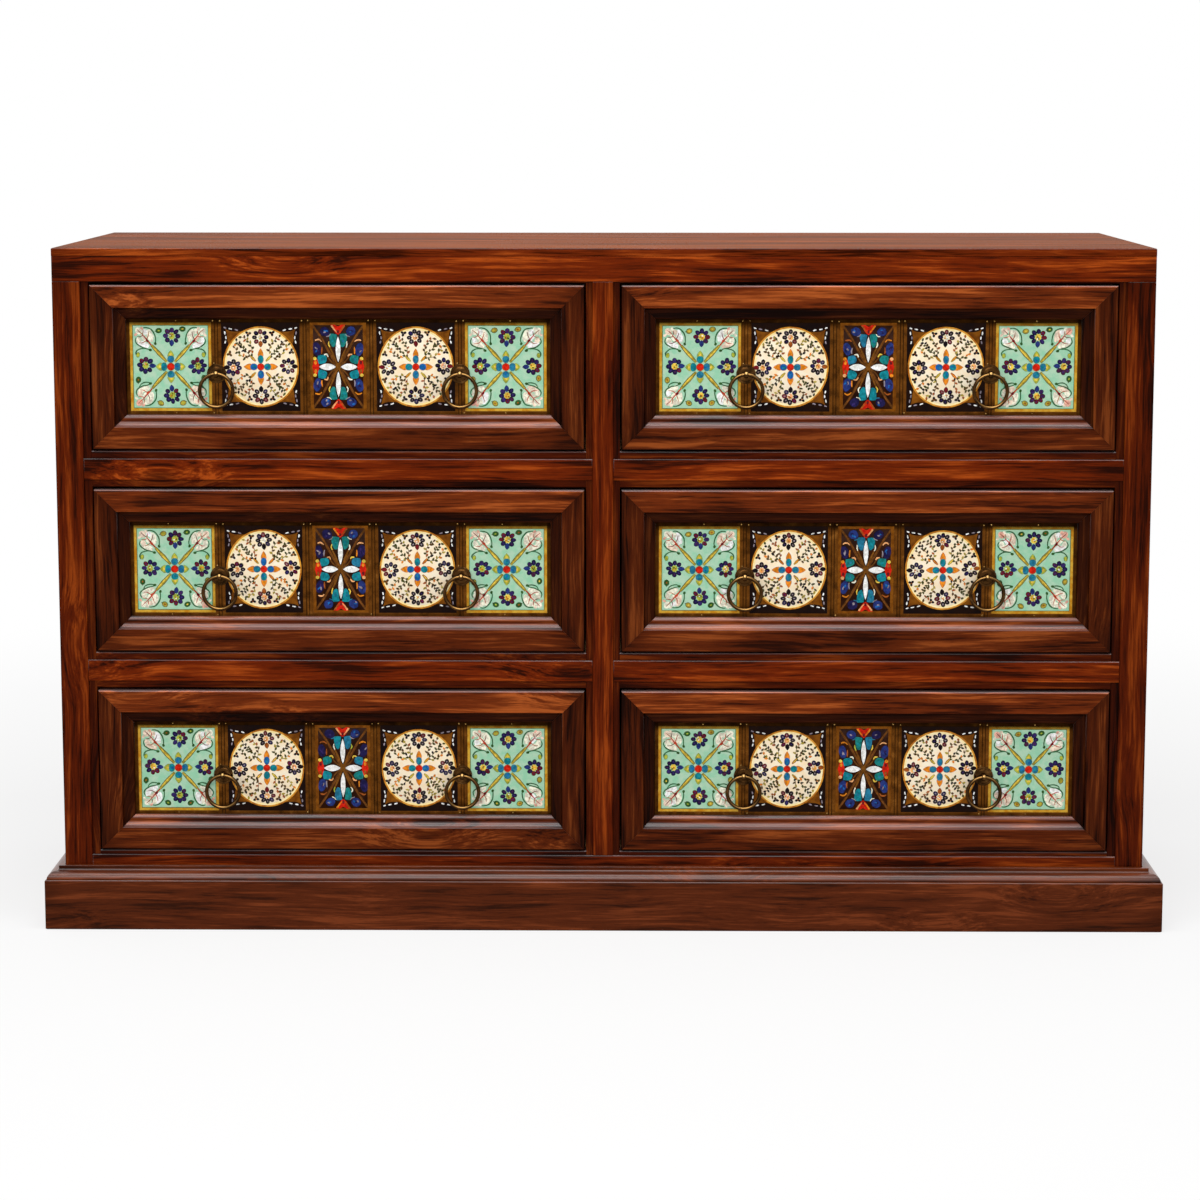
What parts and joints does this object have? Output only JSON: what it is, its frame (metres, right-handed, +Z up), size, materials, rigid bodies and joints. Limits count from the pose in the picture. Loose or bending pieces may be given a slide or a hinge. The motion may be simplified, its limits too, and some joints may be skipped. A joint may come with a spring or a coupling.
{
  "type": "chest of drawers",
  "caption": "Low, wide wooden chest of drawers for clothes, with mitred drawer fronts that frame painted tiles set in brass, hanging ring pulls and a moulded plinth.",
  "frame": {"origin": "centre of the footprint on the floor, over the plinth's width and over the depth from the plinth's front to the back of the posts", "axes": "+X to the right seen from the front, +Y towards the back, +Z up; the drawers open towards -Y"},
  "size_m": [1.5, 0.474, 0.915],
  "materials": {
    "carcass_wood": "dark red-brown stain under satin lacquer",
    "top_wood": "dark red-brown stain under satin lacquer",
    "plinth_wood": "dark red-brown stain under satin lacquer",
    "front_wood": "dark red-brown stain under satin lacquer",
    "inner_wood": "plain sanded wood",
    "back_wood": "thin stain, matte",
    "brass_plate": "aged, dark gold",
    "pull_brass": "aged, worn bright on the edges",
    "glazed_tile": "painted and glazed, glossy"
  },
  "bodies": {
    "carcass": {"top_board": "top_wood", "top_front_rail": "carcass_wood", "bottom_front_rail": "carcass_wood", "mid_rails": "carcass_wood", "centre_stile": "carcass_wood", "front_posts": "carcass_wood", "back_posts": "carcass_wood", "side_rails": "carcass_wood", "side_panels": "carcass_wood", "back_panel": "back_wood", "back_rails": "back_wood", "bottom_panel": "inner_wood", "centre_divider": "inner_wood", "drawer_bearers": "inner_wood", "drawer_guides": "inner_wood", "drawer_stops": "inner_wood", "plinth_boards": "plinth_wood", "plinth_moulding": "plinth_wood"},
    "bottom_left_drawer": {"bottom_left_drawer_frame": "front_wood", "bottom_left_drawer_box": "inner_wood", "bottom_left_drawer_brass_plate": "brass_plate", "bottom_left_drawer_tiles": "glazed_tile", "bottom_left_drawer_pull_mounts": "pull_brass"},
    "bottom_left_drawer_left_ring": {"bottom_left_drawer_left_ring": "pull_brass"},
    "bottom_left_drawer_right_ring": {"bottom_left_drawer_right_ring": "pull_brass"},
    "bottom_right_drawer": {"bottom_right_drawer_frame": "front_wood", "bottom_right_drawer_box": "inner_wood", "bottom_right_drawer_brass_plate": "brass_plate", "bottom_right_drawer_tiles": "glazed_tile", "bottom_right_drawer_pull_mounts": "pull_brass"},
    "bottom_right_drawer_left_ring": {"bottom_right_drawer_left_ring": "pull_brass"},
    "bottom_right_drawer_right_ring": {"bottom_right_drawer_right_ring": "pull_brass"},
    "middle_left_drawer": {"middle_left_drawer_frame": "front_wood", "middle_left_drawer_box": "inner_wood", "middle_left_drawer_brass_plate": "brass_plate", "middle_left_drawer_tiles": "glazed_tile", "middle_left_drawer_pull_mounts": "pull_brass"},
    "middle_left_drawer_left_ring": {"middle_left_drawer_left_ring": "pull_brass"},
    "middle_left_drawer_right_ring": {"middle_left_drawer_right_ring": "pull_brass"},
    "middle_right_drawer": {"middle_right_drawer_frame": "front_wood", "middle_right_drawer_box": "inner_wood", "middle_right_drawer_brass_plate": "brass_plate", "middle_right_drawer_tiles": "glazed_tile", "middle_right_drawer_pull_mounts": "pull_brass"},
    "middle_right_drawer_left_ring": {"middle_right_drawer_left_ring": "pull_brass"},
    "middle_right_drawer_right_ring": {"middle_right_drawer_right_ring": "pull_brass"},
    "top_left_drawer": {"top_left_drawer_frame": "front_wood", "top_left_drawer_box": "inner_wood", "top_left_drawer_brass_plate": "brass_plate", "top_left_drawer_tiles": "glazed_tile", "top_left_drawer_pull_mounts": "pull_brass"},
    "top_left_drawer_left_ring": {"top_left_drawer_left_ring": "pull_brass"},
    "top_left_drawer_right_ring": {"top_left_drawer_right_ring": "pull_brass"},
    "top_right_drawer": {"top_right_drawer_frame": "front_wood", "top_right_drawer_box": "inner_wood", "top_right_drawer_brass_plate": "brass_plate", "top_right_drawer_tiles": "glazed_tile", "top_right_drawer_pull_mounts": "pull_brass"},
    "top_right_drawer_left_ring": {"top_right_drawer_left_ring": "pull_brass"},
    "top_right_drawer_right_ring": {"top_right_drawer_right_ring": "pull_brass"}
  },
  "joints": [
    {"name": "bottom_left_drawer_slide", "type": "slide", "parent": "carcass", "child": "bottom_left_drawer", "axis": [0, -1, 0], "range_m": [0, 0.3]},
    {"name": "bottom_left_drawer_left_ring_hinge", "type": "hinge", "parent": "bottom_left_drawer", "child": "bottom_left_drawer_left_ring", "pos_m": [-0.5118, -0.209, 0.2055], "axis": [-1, 0, 0], "range_deg": [-5, 185]},
    {"name": "bottom_left_drawer_right_ring_hinge", "type": "hinge", "parent": "bottom_left_drawer", "child": "bottom_left_drawer_right_ring", "pos_m": [-0.1892, -0.209, 0.2055], "axis": [-1, 0, 0], "range_deg": [-5, 185]},
    {"name": "bottom_right_drawer_slide", "type": "slide", "parent": "carcass", "child": "bottom_right_drawer", "axis": [0, -1, 0], "range_m": [0, 0.3]},
    {"name": "bottom_right_drawer_left_ring_hinge", "type": "hinge", "parent": "bottom_right_drawer", "child": "bottom_right_drawer_left_ring", "pos_m": [0.1892, -0.209, 0.2055], "axis": [-1, 0, 0], "range_deg": [-5, 185]},
    {"name": "bottom_right_drawer_right_ring_hinge", "type": "hinge", "parent": "bottom_right_drawer", "child": "bottom_right_drawer_right_ring", "pos_m": [0.5118, -0.209, 0.2055], "axis": [-1, 0, 0], "range_deg": [-5, 185]},
    {"name": "middle_left_drawer_slide", "type": "slide", "parent": "carcass", "child": "middle_left_drawer", "axis": [0, -1, 0], "range_m": [0, 0.3]},
    {"name": "middle_left_drawer_left_ring_hinge", "type": "hinge", "parent": "middle_left_drawer", "child": "middle_left_drawer_left_ring", "pos_m": [-0.5118, -0.209, 0.477], "axis": [-1, 0, 0], "range_deg": [-5, 185]},
    {"name": "middle_left_drawer_right_ring_hinge", "type": "hinge", "parent": "middle_left_drawer", "child": "middle_left_drawer_right_ring", "pos_m": [-0.1892, -0.209, 0.477], "axis": [-1, 0, 0], "range_deg": [-5, 185]},
    {"name": "middle_right_drawer_slide", "type": "slide", "parent": "carcass", "child": "middle_right_drawer", "axis": [0, -1, 0], "range_m": [0, 0.3]},
    {"name": "middle_right_drawer_left_ring_hinge", "type": "hinge", "parent": "middle_right_drawer", "child": "middle_right_drawer_left_ring", "pos_m": [0.1892, -0.209, 0.477], "axis": [-1, 0, 0], "range_deg": [-5, 185]},
    {"name": "middle_right_drawer_right_ring_hinge", "type": "hinge", "parent": "middle_right_drawer", "child": "middle_right_drawer_right_ring", "pos_m": [0.5118, -0.209, 0.477], "axis": [-1, 0, 0], "range_deg": [-5, 185]},
    {"name": "top_left_drawer_slide", "type": "slide", "parent": "carcass", "child": "top_left_drawer", "axis": [0, -1, 0], "range_m": [0, 0.3]},
    {"name": "top_left_drawer_left_ring_hinge", "type": "hinge", "parent": "top_left_drawer", "child": "top_left_drawer_left_ring", "pos_m": [-0.5118, -0.209, 0.7485], "axis": [-1, 0, 0], "range_deg": [-5, 185]},
    {"name": "top_left_drawer_right_ring_hinge", "type": "hinge", "parent": "top_left_drawer", "child": "top_left_drawer_right_ring", "pos_m": [-0.1892, -0.209, 0.7485], "axis": [-1, 0, 0], "range_deg": [-5, 185]},
    {"name": "top_right_drawer_slide", "type": "slide", "parent": "carcass", "child": "top_right_drawer", "axis": [0, -1, 0], "range_m": [0, 0.3]},
    {"name": "top_right_drawer_left_ring_hinge", "type": "hinge", "parent": "top_right_drawer", "child": "top_right_drawer_left_ring", "pos_m": [0.1892, -0.209, 0.7485], "axis": [-1, 0, 0], "range_deg": [-5, 185]},
    {"name": "top_right_drawer_right_ring_hinge", "type": "hinge", "parent": "top_right_drawer", "child": "top_right_drawer_right_ring", "pos_m": [0.5118, -0.209, 0.7485], "axis": [-1, 0, 0], "range_deg": [-5, 185]}
  ]
}
